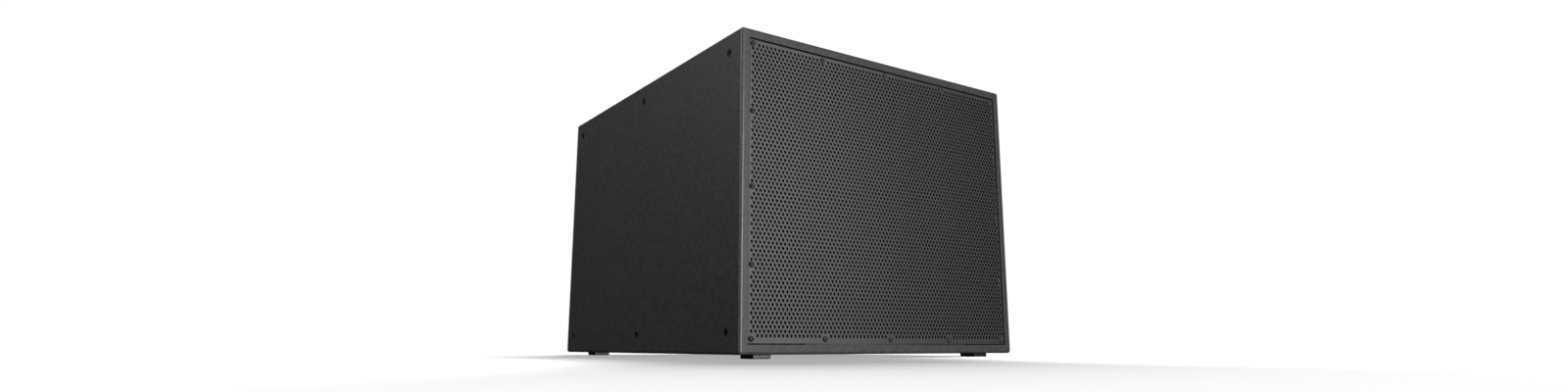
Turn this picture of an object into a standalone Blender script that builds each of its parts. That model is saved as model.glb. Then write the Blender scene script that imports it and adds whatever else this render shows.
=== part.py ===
"""Passive 18-inch subwoofer: a plywood box with a full-front steel grille, rear-loaded driver and slot ports.

Metres. +Z is up, the front faces -Y, and the origin is on the floor under the middle of the box.
Depths into the box are measured along +Y from the named faces below.
"""

import math

import bmesh
import bpy
from mathutils import Vector

# ---- driving dimensions ----
WIDTH, DEPTH, HEIGHT = 0.600, 0.712, 0.508
PANEL = 0.015  # plywood of the box
EDGE_RADIUS = 0.005
FOOT_HEIGHT = 0.0065
GAP = 0.0003  # left between pieces that touch

GRILLE_RECESS = 0.0028
GRILLE_THICKNESS = 0.002
GRILLE_CLEARANCE = 0.0019
GRILLE_FOAM = 0.004
BATTEN_WIDTH, BATTEN_DEPTH = 0.015, 0.020
GRILLE_SCREW_X = (-0.2775, -0.13875, 0, 0.13875, 0.2775)
GRILLE_SCREW_Z = (-0.2305, -0.120, 0, 0.120, 0.2305)  # from the middle of the box

BAFFLE = 0.018
CUTOUT_RADIUS = 0.208
PORT_WIDTH, PORT_BOARD, PORT_LENGTH = 0.0395, 0.012, 0.300
BRACE_Y = 0.060
BRACE_MARGIN = 0.060

PLUG_INSET_Y = 0.0385
PLUG_INSET_Z = 0.033
PLUG_RADIUS, PLUG_HOLE_RADIUS = 0.0060, 0.0066
PLUG_SINK = 0.001
PLUG_HOLE_DEPTH = 0.0142

FOOT_X, FOOT_Y = 0.0345, 0.036  # plan size
FOOT_INSET_X, FOOT_INSET_Y = 0.039, 0.025  # from the box's faces to the foot's

DISH_X, DISH_Z, DISH_DEPTH = 0.150, 0.100, 0.040
DISH_FLANGE, DISH_SHEET = 0.015, 0.002
DISH_HEIGHT = 0.160  # its middle above the box's underside
SOCKET_X = (-0.045, 0)
SOCKET_HOLE = 0.0128
STRIP_X = 0.047

# ---- faces worked out from them ----
FRONT, REAR = -DEPTH / 2, DEPTH / 2
BOTTOM, TOP = FOOT_HEIGHT, FOOT_HEIGHT + HEIGHT
MIDDLE = (BOTTOM + TOP) / 2
WALL_X = WIDTH / 2 - PANEL  # inner face of a side panel
WALL_Z = HEIGHT / 2 - PANEL  # inner face of the top panel, from MIDDLE
GRILLE_FRONT = FRONT + GRILLE_RECESS
GRILLE_BACK = GRILLE_FRONT + GRILLE_THICKNESS
FOAM_BACK = GRILLE_BACK + GAP + GRILLE_FOAM
BATTEN_FRONT = FOAM_BACK + GAP
BATTEN_BACK = BATTEN_FRONT + BATTEN_DEPTH
BAFFLE_FRONT = BATTEN_BACK + GAP
BAFFLE_BACK = BAFFLE_FRONT + BAFFLE
PORT_BOARD_X = WALL_X - PORT_WIDTH - PORT_BOARD  # its inner face

ROUND = 28  # sides of a large turned piece
SMALL_ROUND = 8  # sides of a fastener
REARWARD = (-math.pi / 2, 0, 0)  # turns local +Z to +Y
TO_RIGHT = (0, math.pi / 2, 0)  # turns local +Z to +X
TO_LEFT = (0, -math.pi / 2, 0)  # turns local +Z to -X

COLOURS = {
    # name: (base colour, roughness, metallic)
    "cabinet_paint": ((0.045, 0.046, 0.048), 0.6, 0.0),
    "grille_paint": ((0.07, 0.07, 0.072), 0.45, 0.2),
    "foam": ((0.40, 0.40, 0.41), 1.0, 0.0),
    "black_screw": ((0.02, 0.02, 0.022), 0.4, 0.6),
    "inner_plywood": ((0.05, 0.048, 0.045), 0.7, 0.0),
    "foot_rubber": ((0.02, 0.02, 0.02), 0.6, 0.0),
    "cast_aluminium": ((0.035, 0.035, 0.037), 0.5, 0.8),
    "cone_paper": ((0.03, 0.028, 0.026), 0.9, 0.0),
    "surround_cloth": ((0.025, 0.025, 0.025), 0.8, 0.0),
    "spider_cloth": ((0.45, 0.28, 0.10), 0.9, 0.0),
    "coil_former": ((0.5, 0.3, 0.12), 0.4, 0.3),
    "plated_steel": ((0.45, 0.45, 0.43), 0.35, 1.0),
    "ferrite": ((0.05, 0.05, 0.055), 0.6, 0.1),
    "gasket": ((0.02, 0.02, 0.02), 0.9, 0.0),
    "dish_paint": ((0.02, 0.02, 0.02), 0.45, 0.3),
    "socket_plastic": ((0.02, 0.022, 0.03), 0.35, 0.0),
    "strip_plastic": ((0.015, 0.015, 0.015), 0.3, 0.0),
    "lead_jacket": ((0.03, 0.03, 0.03), 0.5, 0.0),
    "damping_foam": ((0.10, 0.10, 0.11), 1.0, 0.0),
}


def clear_scene():
    for obj in list(bpy.data.objects):
        bpy.data.objects.remove(obj, do_unlink=True)


def material(name):
    found = bpy.data.materials.get(name)
    if found:
        return found
    made = bpy.data.materials.new(name)
    made.use_nodes = True
    colour, roughness, metallic = COLOURS[name]
    shader = made.node_tree.nodes["Principled BSDF"]
    shader.inputs["Base Color"].default_value = (*colour, 1)
    shader.inputs["Roughness"].default_value = roughness
    shader.inputs["Metallic"].default_value = metallic
    return made


def mesh_from(bm, name, smooth=False):
    bmesh.ops.recalc_face_normals(bm, faces=bm.faces)
    mesh = bpy.data.meshes.new(name)
    bm.to_mesh(mesh)
    bm.free()
    if smooth:
        mesh.shade_smooth()
        mesh.set_sharp_from_angle(angle=math.radians(40))
    return mesh


def place(name, mesh, slot, location=(0, 0, 0), rotation=(0, 0, 0), parent=None):
    """A visible piece, with its own material."""
    obj = bpy.data.objects.new(name, mesh)
    obj.location, obj.rotation_euler = location, rotation
    if not mesh.materials:
        mesh.materials.append(material(slot))
    obj.parent = parent
    bpy.context.scene.collection.objects.link(obj)
    return obj


def combine(obj, operation, mesh, location, rotation=(0, 0, 0)):
    """Cuts the mesh's shape from obj (DIFFERENCE), or adds it (UNION)."""
    helper = bpy.data.objects.new(f"{mesh.name}_helper", mesh)
    helper.location, helper.rotation_euler = location, rotation
    helper.hide_render = True
    helper.display_type = "WIRE"
    bpy.context.scene.collection.objects.link(helper)
    modifier = obj.modifiers.new(mesh.name, "BOOLEAN")
    modifier.operation, modifier.solver = operation, "EXACT"
    modifier.object = helper


def cut(obj, mesh, location, rotation=(0, 0, 0)):
    combine(obj, "DIFFERENCE", mesh, location, rotation)


def add_box(bm, size, centre=(0, 0, 0)):
    made = bmesh.ops.create_cube(bm, size=1)["verts"]
    bmesh.ops.scale(bm, vec=size, verts=made)
    bmesh.ops.translate(bm, vec=centre, verts=made)
    return made


def box_mesh(name, size, rounded=0, segments=2, keeps_sharp=lambda a, b: False):
    """A box about the origin, with the edges rounded that keeps_sharp doesn't name."""
    bm = bmesh.new()
    add_box(bm, size)
    if rounded:
        edges = [e for e in bm.edges if not keeps_sharp(*(v.co for v in e.verts))]
        bmesh.ops.bevel(bm, geom=edges, offset=rounded, segments=segments, profile=0.5, affect="EDGES")
    return mesh_from(bm, name, smooth=bool(rounded))


def boxes_mesh(name, boxes):
    """Separate boxes in one cutter, each (size, centre)."""
    bm = bmesh.new()
    for size, centre in boxes:
        add_box(bm, size, centre)
    return mesh_from(bm, name)


def board(name, slot, low, high):
    """A plain board between two corners."""
    low, high = Vector(low), Vector(high)
    return place(name, box_mesh(name, high - low), slot, location=(low + high) / 2)


def turned_mesh(name, profile, sides=ROUND):
    """A body turned about local Z from an outline of (radius, height), which may begin and end on the axis."""
    bm = bmesh.new()
    verts = [bm.verts.new((r, 0, z)) for r, z in profile]
    on_axis = profile[0][0] == 0
    ends = verts[1:] if on_axis else verts[1:] + verts[:1]
    edges = [bm.edges.new(pair) for pair in zip(verts, ends)]
    bmesh.ops.spin(
        bm, geom=verts + edges, cent=(0, 0, 0), axis=(0, 0, 1), angle=math.tau, steps=sides, use_merge=True
    )
    bmesh.ops.remove_doubles(bm, verts=bm.verts, dist=1e-6)
    return mesh_from(bm, name, smooth=True)


def drill_mesh(name, places, radius, low, high, sides=SMALL_ROUND):
    """Separate rods along local Z, for drilling a hole at each (x, y)."""
    bm = bmesh.new()
    for x, y in places:
        rod = bmesh.ops.create_cone(
            bm, cap_ends=True, segments=sides, radius1=radius, radius2=radius, depth=high - low
        )["verts"]
        bmesh.ops.translate(bm, vec=(x, y, (low + high) / 2), verts=rod)
    return mesh_from(bm, name)


# ---- the box ----


def plug_places():
    """(y, z) of the threaded suspension points in a side panel."""
    rows = (BOTTOM + PLUG_INSET_Z, TOP - PLUG_INSET_Z)
    columns = (FRONT + PLUG_INSET_Y, 0, REAR - PLUG_INSET_Y)
    return [(y, z) for z in rows for y in columns]


def side_panels():
    for name, side in (("left", -1), ("right", 1)):

        def is_inner_edge(a, b, inner=-side * PANEL / 2):
            return abs(a.x - inner) < GAP and abs(b.x - inner) < GAP

        mesh = box_mesh(f"{name}_side_panel", (PANEL, DEPTH, HEIGHT), EDGE_RADIUS, 3, is_inner_edge)
        panel = place(mesh.name, mesh, "cabinet_paint", (side * (WIDTH - PANEL) / 2, 0, MIDDLE))
        # The drill's local Z runs inward, so its local axes are those of the plug on the same side.
        local = [(side * (z - MIDDLE), y) for y, z in plug_places()]
        drill = drill_mesh(f"{name}_plug_drill", local, PLUG_HOLE_RADIUS, -0.002, PLUG_HOLE_DEPTH)
        cut(panel, drill, (side * WIDTH / 2, 0, MIDDLE), TO_LEFT if side > 0 else TO_RIGHT)


def top_and_bottom_panels():
    size = (2 * (WALL_X - GAP), DEPTH, PANEL)
    for name, up in (("top_panel", 1), ("bottom_panel", -1)):
        outer_z = up * PANEL / 2

        def keeps_sharp(a, b, outer=outer_z):
            runs_across = abs(a.x - b.x) > GAP
            on_outer_face = abs(a.z - outer) < GAP and abs(b.z - outer) < GAP
            return not (runs_across and on_outer_face)

        mesh = box_mesh(name, size, EDGE_RADIUS, 3, keeps_sharp)
        place(name, mesh, "cabinet_paint", (0, 0, MIDDLE + up * (HEIGHT - PANEL) / 2))


def rear_panel():
    inner = (WALL_X - GAP, WALL_Z - GAP)
    low, high = (-inner[0], REAR - PANEL, MIDDLE - inner[1]), (inner[0], REAR, MIDDLE + inner[1])
    panel = board("rear_panel", "cabinet_paint", low, high)
    room = 4 * GAP
    hole = (DISH_X + room, 4 * PANEL, DISH_Z + room)
    rebate = (DISH_X + 2 * DISH_FLANGE + room, 2 * (DISH_SHEET + GAP), DISH_Z + 2 * DISH_FLANGE + room)
    centre = (0, REAR, BOTTOM + DISH_HEIGHT)
    cut(panel, box_mesh("dish_hole", hole), centre)
    cut(panel, box_mesh("dish_rebate", rebate), centre)


def baffle():
    half_x, half_z = PORT_BOARD_X - GAP, WALL_Z - GAP
    low, high = (-half_x, BAFFLE_FRONT, MIDDLE - half_z), (half_x, BAFFLE_BACK, MIDDLE + half_z)
    obj = board("baffle", "inner_plywood", low, high)
    hole = drill_mesh("baffle_hole", [(0, 0)], CUTOUT_RADIUS, -BAFFLE, 2 * BAFFLE, sides=48)
    cut(obj, hole, (0, BAFFLE_FRONT, MIDDLE), REARWARD)


def port_boards():
    half_z = WALL_Z - GAP
    for name, side in (("left_port_board", -1), ("right_port_board", 1)):
        low_x, high_x = sorted((side * PORT_BOARD_X, side * (PORT_BOARD_X + PORT_BOARD)))
        low = (low_x, BAFFLE_FRONT, MIDDLE - half_z)
        high = (high_x, BAFFLE_FRONT + PORT_LENGTH, MIDDLE + half_z)
        board(name, "inner_plywood", low, high)


def window_brace():
    half_x, half_z = WALL_X - GAP, WALL_Z - GAP
    low, high = (-half_x, BRACE_Y, MIDDLE - half_z), (half_x, BRACE_Y + PANEL, MIDDLE + half_z)
    obj = board("window_brace", "inner_plywood", low, high)
    window_x = half_x - 1.5 * BRACE_MARGIN
    window_z = half_z - 1.5 * BRACE_MARGIN
    windows = [
        (
            (window_x, 3 * PANEL, window_z),
            (across * (window_x + BRACE_MARGIN) / 2, 0, up * (window_z + BRACE_MARGIN) / 2),
        )
        for across in (-1, 1)
        for up in (-1, 1)
    ]
    cut(obj, boxes_mesh("brace_windows", windows), (0, BRACE_Y, MIDDLE))


def feet():
    mesh = box_mesh("foot", (FOOT_X, FOOT_Y, FOOT_HEIGHT - GAP), 0.002, 2, lambda a, b: a.z > 0 and b.z > 0)
    x = WIDTH / 2 - FOOT_INSET_X - FOOT_X / 2
    y = DEPTH / 2 - FOOT_INSET_Y - FOOT_Y / 2
    for front_name, y_side in (("front", -1), ("rear", 1)):
        for side_name, x_side in (("left", -1), ("right", 1)):
            where = (x_side * x, y_side * y, (FOOT_HEIGHT - GAP) / 2)
            place(f"foot_{front_name}_{side_name}", mesh, "foot_rubber", where)


def suspension_plugs():
    """Flat-headed plug screws that close the M10 points when no eyebolt is fitted."""
    shaft, length = 0.0048, 0.012
    socket_radius, socket_depth = 0.0030, 0.003
    mesh = turned_mesh(
        "suspension_plug",
        [
            (0, socket_depth),
            (socket_radius, socket_depth),
            (socket_radius, 0),
            (PLUG_RADIUS, 0),
            (PLUG_RADIUS, 0.002),
            (shaft, 0.0036),
            (shaft, length),
            (0, length),
        ],
        SMALL_ROUND,
    )
    for name, side, turn in (("left", -1, TO_RIGHT), ("right", 1, TO_LEFT)):
        x = side * (WIDTH / 2 - PLUG_SINK)
        for number, (y, z) in enumerate(plug_places(), 1):
            place(f"{name}_plug_{number}", mesh, "black_screw", (x, y, z), turn)


# ---- the grille ----


def grille_screw_places():
    """(x, z) from the middle of the box: five along each edge, the corners shared."""
    return [
        (x, z)
        for z in GRILLE_SCREW_Z
        for x in GRILLE_SCREW_X
        if abs(x) == GRILLE_SCREW_X[-1] or abs(z) == GRILLE_SCREW_Z[-1]
    ]


def drilled_for_screws(obj, radius, face, low, high):
    """Drills obj for the grille's screws, from low to high behind the face at this y."""
    local = [(x, -z) for x, z in grille_screw_places()]
    cut(obj, drill_mesh(f"{obj.name}_drill", local, radius, low, high), (0, face, MIDDLE), REARWARD)


def grille_and_foam():
    half_x, half_z = WALL_X - GRILLE_CLEARANCE, WALL_Z - GRILLE_CLEARANCE
    low_z, high_z = MIDDLE - half_z, MIDDLE + half_z
    grille = board("grille", "grille_paint", (-half_x, GRILLE_FRONT, low_z), (half_x, GRILLE_BACK, high_z))
    drilled_for_screws(grille, 0.0030, GRILLE_FRONT, -0.01, 0.01)
    foam = board("grille_foam", "foam", (-half_x, GRILLE_BACK + GAP, low_z), (half_x, FOAM_BACK, high_z))
    drilled_for_screws(foam, 0.0032, GRILLE_BACK, -0.01, 0.02)


def grille_batten_frame():
    half_x, half_z = WALL_X - GAP, WALL_Z - GAP
    low, high = (-half_x, BATTEN_FRONT, MIDDLE - half_z), (half_x, BATTEN_BACK, MIDDLE + half_z)
    frame = board("grille_batten_frame", "inner_plywood", low, high)
    opening = (2 * (half_x - BATTEN_WIDTH), 4 * BATTEN_DEPTH, 2 * (half_z - BATTEN_WIDTH))
    cut(frame, box_mesh("batten_opening", opening), (0, BATTEN_FRONT, MIDDLE))
    drilled_for_screws(frame, 0.0029, BATTEN_FRONT, -0.002, 0.016)


def grille_screws():
    """M5 button heads with a hexagon socket."""
    head, rise, shaft, length = 0.0046, 0.0022, 0.0025, 0.019
    socket_radius, socket_depth = 0.0017, 0.0013
    mesh = turned_mesh(
        "grille_screw",
        [
            (0, socket_depth - rise),
            (socket_radius, socket_depth - rise),
            (socket_radius, -rise),
            (0.6 * head, -rise),
            (head, -0.4 * rise),
            (head, 0),
            (shaft, 0),
            (shaft, length),
            (0, length),
        ],
        SMALL_ROUND,
    )
    for number, (x, z) in enumerate(grille_screw_places(), 1):
        where = (x, GRILLE_FRONT - GAP, MIDDLE + z)
        place(f"grille_screw_{number:02d}", mesh, "black_screw", where, REARWARD)


# ---- the driver, in (radius, depth behind the baffle's back face) ----

FLANGE_OUTER, FLANGE_INNER = 0.231, 0.203
FLANGE_FRONT = 0.0036
COIL_INNER, COIL_OUTER = 0.0495, 0.0510
CONE_LIP_INNER, CONE_LIP_OUTER = 0.174, 0.1815
CONE_SHEET = 0.002
NECK_DEPTH = 0.083
CAP_RADIUS, CAP_RISE = 0.070, 0.020
ROLL_MIDDLE, ROLL_RADIUS = 0.192, 0.011
SURROUND_SHEET = 0.0012
SPIDER_DEPTH, SPIDER_OUTER, SPIDER_WAVES, SPIDER_SWING = 0.0955, 0.100, 3, 0.002
BASKET_END = 0.1265


def driver_piece(name, slot, profile, parent=None, sides=ROUND):
    """Turned about the driver's axis; a piece of the moving assembly has the empty on that axis as parent."""
    mesh = turned_mesh(name, profile, sides)
    if parent:
        return place(name, mesh, slot, parent=parent)
    return place(name, mesh, slot, (0, BAFFLE_BACK, MIDDLE), REARWARD)


def cone_depth(radius):
    """Depth of the cone's front surface, which flares a little towards its rim."""
    neck = COIL_OUTER + GAP
    share = (radius - neck) / (CONE_LIP_INNER - neck)
    start = FLANGE_FRONT
    return NECK_DEPTH - (NECK_DEPTH - start) * (0.85 * share + 0.15 * share**2)


def basket():
    profile = [
        (FLANGE_INNER, FLANGE_FRONT),
        (FLANGE_OUTER, FLANGE_FRONT),
        (FLANGE_OUTER, 0.0116),
        (0.214, 0.0116),
        (0.199, 0.045),
        (0.128, 0.100),
        (0.114, 0.118),
        (0.114, BASKET_END),
        (0.062, BASKET_END),
        (0.062, 0.121),
        (0.091, 0.119),
        (0.091, 0.1005),
        (0.105, 0.1005),
        (0.122, 0.093),
        (0.193, 0.040),
        (0.2, 0.020),
    ]
    obj = driver_piece("basket", "cast_aluminium", profile)
    windows, half_angle = 6, math.radians(21)
    inner, outer, start, length = 0.116, 0.26, 0.022, 0.068
    bm = bmesh.new()
    for number in range(windows):
        middle = math.tau * number / windows
        corners = [(inner, half_angle), (outer, half_angle), (outer, -half_angle), (inner, -half_angle)]
        ring = [bm.verts.new((r * math.cos(middle + a), r * math.sin(middle + a), start)) for r, a in corners]
        raised = bmesh.ops.extrude_face_region(bm, geom=[bm.faces.new(ring)])["geom"]
        moved = [v for v in raised if isinstance(v, bmesh.types.BMVert)]
        bmesh.ops.translate(bm, vec=(0, 0, length), verts=moved)
    cut(obj, mesh_from(bm, "basket_windows"), (0, BAFFLE_BACK, MIDDLE), REARWARD)


def motor():
    driver_piece("basket_gasket", "gasket", [(0.213, GAP), (0.230, GAP), (0.230, 0.0033), (0.213, 0.0033)])
    front = BASKET_END + GAP
    back = front + 0.012
    inner, outer = 0.0535, 0.100
    driver_piece("front_plate", "plated_steel", [(inner, front), (outer, front), (outer, back), (inner, back)])
    magnet_front, magnet_back = back + GAP, back + GAP + 0.040
    driver_piece(
        "magnet",
        "ferrite",
        [
            (0.062, magnet_front),
            (0.108, magnet_front),
            (0.110, magnet_front + 0.002),
            (0.110, magnet_back - 0.002),
            (0.108, magnet_back),
            (0.062, magnet_back),
        ],
    )
    plate_front, plate_back = magnet_back + GAP, magnet_back + GAP + 0.014
    vent, pole = 0.015, 0.047
    driver_piece(
        "back_plate",
        "plated_steel",
        [
            (vent, front),
            (pole, front),
            (pole, plate_front),
            (0.105, plate_front),
            (0.105, plate_back),
            (vent, plate_back),
        ],
    )


def moving_assembly():
    axis = bpy.data.objects.new("cone_axis", None)
    axis.location, axis.rotation_euler = (0, BAFFLE_BACK, MIDDLE), REARWARD
    bpy.context.scene.collection.objects.link(axis)

    neck = COIL_OUTER + GAP
    steps = 4
    radii = [neck + (CONE_LIP_INNER - neck) * i / steps for i in range(steps + 1)]
    front = [(r, cone_depth(r)) for r in radii] + [(CONE_LIP_OUTER, FLANGE_FRONT)]
    back = [(r, d + CONE_SHEET) for r, d in reversed(front)]
    driver_piece("cone", "cone_paper", front + back, axis)

    def cap_depth(radius):
        return cone_depth(CAP_RADIUS) - 0.0022 - CAP_RISE * (1 - (radius / CAP_RADIUS) ** 2)

    radii = [CAP_RADIUS * i / steps for i in range(steps + 1)]
    outside = [(r, cap_depth(r)) for r in radii]
    inside = [(r, d + 0.0015) for r, d in reversed(outside)]
    driver_piece("dust_cap", "cone_paper", outside + inside, axis)

    coil_front, coil_back = NECK_DEPTH - 0.003, 0.146
    coil = [
        (COIL_INNER, coil_front),
        (COIL_OUTER, coil_front),
        (COIL_OUTER, coil_back),
        (COIL_INNER, coil_back),
    ]
    driver_piece("voice_coil", "coil_former", coil, axis)

    lip = FLANGE_FRONT - GAP - SURROUND_SHEET
    back = lip + SURROUND_SHEET
    inner, outer = 0.1755, 0.212

    def roll(radius, depth):
        arc = [math.pi * i / 5 for i in range(6)]
        return [(ROLL_MIDDLE - radius * math.cos(a), depth - radius * math.sin(a)) for a in arc]

    outline = [(inner, lip), *roll(ROLL_RADIUS, lip), (outer, lip)]
    outline += [(outer, back), *reversed(roll(ROLL_RADIUS - SURROUND_SHEET, back)), (inner, back)]
    driver_piece("surround", "surround_cloth", outline, axis)

    start = COIL_OUTER + GAP
    count = 4 * SPIDER_WAVES
    front = [
        (
            start + (SPIDER_OUTER - start) * i / count,
            SPIDER_DEPTH - SPIDER_SWING * math.sin(math.tau * SPIDER_WAVES * i / count),
        )
        for i in range(count + 1)
    ]
    back = [(r, d + 0.0012) for r, d in reversed(front)]
    driver_piece("spider", "spider_cloth", front + back, axis)


# ---- the inputs ----


def input_dish():
    """A pressed dish, open to the rear, with its flange in the rear panel's rebate."""
    centre_z = BOTTOM + DISH_HEIGHT
    floor = REAR - DISH_DEPTH
    flange = box_mesh("input_dish", (DISH_X + 2 * DISH_FLANGE, DISH_SHEET, DISH_Z + 2 * DISH_FLANGE))
    obj = place(flange.name, flange, "dish_paint", (0, REAR - DISH_SHEET / 2, centre_z))
    cup_length = DISH_DEPTH - DISH_SHEET / 2  # it ends inside the flange
    cup = box_mesh("dish_cup", (DISH_X, cup_length, DISH_Z))
    combine(obj, "UNION", cup, (0, floor + cup_length / 2, centre_z))
    inside = (DISH_X - 2 * DISH_SHEET, 2 * (DISH_DEPTH - DISH_SHEET), DISH_Z - 2 * DISH_SHEET)
    cut(obj, box_mesh("dish_inside", inside), (0, REAR, centre_z))
    holes = [(x, 0) for x in SOCKET_X]
    drill = drill_mesh("socket_holes", holes, SOCKET_HOLE, -DISH_DEPTH / 4, DISH_DEPTH / 4, 20)
    cut(obj, drill, (0, floor, centre_z), REARWARD)


def sockets():
    """Round four-pole locking sockets: a flanged body with a centre pillar in an open bore."""
    floor = REAR - DISH_DEPTH + DISH_SHEET  # the dish floor's rear face
    flange, body, bore, pillar = 0.0155, 0.0122, 0.0104, 0.0045
    reach, rim, wall = 0.018, 0.0032, 0.002
    profile = [
        (0, rim - wall),
        (pillar, rim - wall),
        (pillar, wall - reach),
        (bore, wall - reach),
        (bore, rim),
        (flange, rim),
        (flange, GAP),
        (body, GAP),
        (body, -reach),
        (0, -reach),
    ]
    for name, x in zip(("socket_left", "socket_right"), SOCKET_X):
        mesh = turned_mesh(name, profile, 16)
        place(name, mesh, "socket_plastic", (x, floor, BOTTOM + DISH_HEIGHT), REARWARD)


def terminal_strip():
    """A block of four screw terminals between raised barriers."""
    pitch, ways, barrier = 0.011, 4, 0.0016
    size = (ways * pitch + barrier, 0.014, 0.026)
    floor = REAR - DISH_DEPTH + DISH_SHEET + GAP
    where = (STRIP_X, floor + size[1] / 2, BOTTOM + DISH_HEIGHT)
    obj = place("terminal_strip", box_mesh("terminal_strip", size), "strip_plastic", where)
    slot = (pitch - barrier, 0.010, 2 * size[2])
    places = [((way - (ways - 1) / 2) * pitch, size[1] / 2, 0) for way in range(ways)]
    cut(obj, boxes_mesh("strip_slots", [(slot, place_at) for place_at in places]), where)


def driver_lead():
    """The twin lead from the dish to the driver, resting on the brace's window sill half way."""
    route = [
        (0.030, REAR - DISH_DEPTH - 0.001, BOTTOM + DISH_HEIGHT + 0.030),
        (0.030, REAR - DISH_DEPTH - 0.030, BOTTOM + DISH_HEIGHT + 0.022),
        (0.035, REAR - DISH_DEPTH - 0.055, BOTTOM + 0.110),
        (0.046, 0.205, BOTTOM + 0.078),
        (0.056, 0.140, BOTTOM + 0.071),
        (0.061, 0.082, BOTTOM + 0.079),
        (0.060, 0.053, BOTTOM + 0.079),
        (0.050, 0.000, BOTTOM + 0.066),
        (0.030, -0.080, BOTTOM + 0.054),
        (0.010, -0.150, BOTTOM + 0.057),
        (0.001, -0.195, BOTTOM + 0.080),
        (0.000, -0.212, BOTTOM + 0.098),
    ]
    curve = bpy.data.curves.new("driver_lead", "CURVE")
    curve.dimensions = "3D"
    points = smooth_route([Vector(p) for p in route], 4)
    spline = curve.splines.new("POLY")
    spline.points.add(len(points) - 1)
    for target, point in zip(spline.points, points):
        target.co = (*point, 1)
    curve.bevel_depth, curve.bevel_resolution, curve.use_fill_caps = 0.0032, 2, True
    curve.materials.append(material("lead_jacket"))
    obj = bpy.data.objects.new("driver_lead", curve)
    bpy.context.scene.collection.objects.link(obj)


def smooth_route(points, per_span):
    """A Catmull-Rom curve through the points, read at per_span places in each span."""
    padded = [2 * points[0] - points[1], *points, 2 * points[-1] - points[-2]]
    curve = []
    for a, b, c, d in zip(padded, padded[1:], padded[2:], padded[3:]):
        for step in range(per_span):
            t = step / per_span
            bend = (2 * a - 5 * b + 4 * c - d) * t**2 + (3 * b - a - 3 * c + d) * t**3
            curve.append(0.5 * (2 * b + (c - a) * t + bend))
    return [*curve, points[-1]]


def rear_damping_foam():
    size = (0.520, 0.025, 0.220)
    back = REAR - PANEL - GAP
    mesh = box_mesh("rear_damping_foam", size, 0.006, 1)
    place("rear_damping_foam", mesh, "damping_foam", (0, back - size[1] / 2, BOTTOM + 0.360))


clear_scene()
side_panels()
top_and_bottom_panels()
rear_panel()
baffle()
port_boards()
window_brace()
feet()
suspension_plugs()
grille_and_foam()
grille_batten_frame()
grille_screws()
basket()
motor()
moving_assembly()
input_dish()
sockets()
terminal_strip()
driver_lead()
rear_damping_foam()
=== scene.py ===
"""The looks of an 18-inch subwoofer cabinet: painted box, grille, fixings, feet, inputs and driver.

Metres. +Z is up, the front faces -Y, and the origin is on the floor under the middle of the box.
Places come from the loaded frame; depths into the box are measured along +Y.
"""

import math

import bmesh
import bpy
import numpy as np
from mathutils import Matrix, Vector, geometry, noise

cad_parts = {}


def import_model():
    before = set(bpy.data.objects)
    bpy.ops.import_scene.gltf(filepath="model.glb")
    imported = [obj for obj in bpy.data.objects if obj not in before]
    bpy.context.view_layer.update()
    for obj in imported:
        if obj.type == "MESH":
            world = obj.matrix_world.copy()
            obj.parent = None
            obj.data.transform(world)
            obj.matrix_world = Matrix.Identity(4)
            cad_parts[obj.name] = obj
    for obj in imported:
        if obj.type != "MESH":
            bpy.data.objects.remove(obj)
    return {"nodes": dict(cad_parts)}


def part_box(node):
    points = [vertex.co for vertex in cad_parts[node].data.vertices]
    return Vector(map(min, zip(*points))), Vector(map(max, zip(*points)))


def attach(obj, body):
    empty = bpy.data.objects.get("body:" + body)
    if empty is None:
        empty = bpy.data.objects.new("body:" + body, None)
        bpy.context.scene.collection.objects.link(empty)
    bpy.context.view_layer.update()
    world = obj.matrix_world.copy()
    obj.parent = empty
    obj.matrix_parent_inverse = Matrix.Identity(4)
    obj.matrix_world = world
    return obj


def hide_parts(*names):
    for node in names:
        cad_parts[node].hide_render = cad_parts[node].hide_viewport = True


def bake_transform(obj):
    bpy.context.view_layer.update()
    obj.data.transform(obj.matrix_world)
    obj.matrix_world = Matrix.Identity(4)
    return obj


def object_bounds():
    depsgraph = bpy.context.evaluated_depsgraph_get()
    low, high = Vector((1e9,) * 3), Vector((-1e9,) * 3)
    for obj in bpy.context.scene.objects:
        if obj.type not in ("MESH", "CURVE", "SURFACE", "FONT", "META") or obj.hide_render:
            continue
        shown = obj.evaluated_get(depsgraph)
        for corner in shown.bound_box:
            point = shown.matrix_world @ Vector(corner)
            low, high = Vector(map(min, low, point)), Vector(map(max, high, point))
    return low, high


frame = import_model()
CAD_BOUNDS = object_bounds()

# ---- the box, read from the frame ----
LEFT, FRONT = CAD_BOUNDS[0].x, CAD_BOUNDS[0].y
RIGHT, REAR, TOP = CAD_BOUNDS[1]
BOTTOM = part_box("bottom_panel")[0].z
MIDDLE = (BOTTOM + TOP) / 2
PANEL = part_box("left_side_panel")[1].x - LEFT
MOUTH_X = RIGHT - PANEL
MOUTH_Z = (TOP - BOTTOM) / 2 - PANEL  # from MIDDLE
GRILLE_LOW, GRILLE_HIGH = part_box("grille")
GAP = 0.0003  # left between pieces that touch
AIR = 0.00005  # left where a piece would otherwise share a face with its neighbour

# ---- driving dimensions of the visible detail ----
EDGE_RADIUS = 0.005
PLUG_HOLE_RADIUS, PLUG_HOLE_DEPTH = 0.00645, 0.0143
DISH_FLANGE, FLANGE_CORNER, SOCKET_HOLE = 0.015, 0.004, 0.0128
MOUTH_EDGE = 0.0004
HOLE_RADIUS, HOLE_PITCH, ROW_PITCH = 0.00285, 0.00773, 0.006693
HOLE_SIDES = 9  # keeps the sheet under 200,000 triangles
ROWS, LOWEST_ROW = 69, 0.028  # the lowest row's height above the box's underside
LONG_ROW, SHORT_ROW = 73, 72  # holes in a row, which alternate, a short row lowest
SCREW_CLEAR = 0.0076  # a hole nearer than this to a screw is left out

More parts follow.
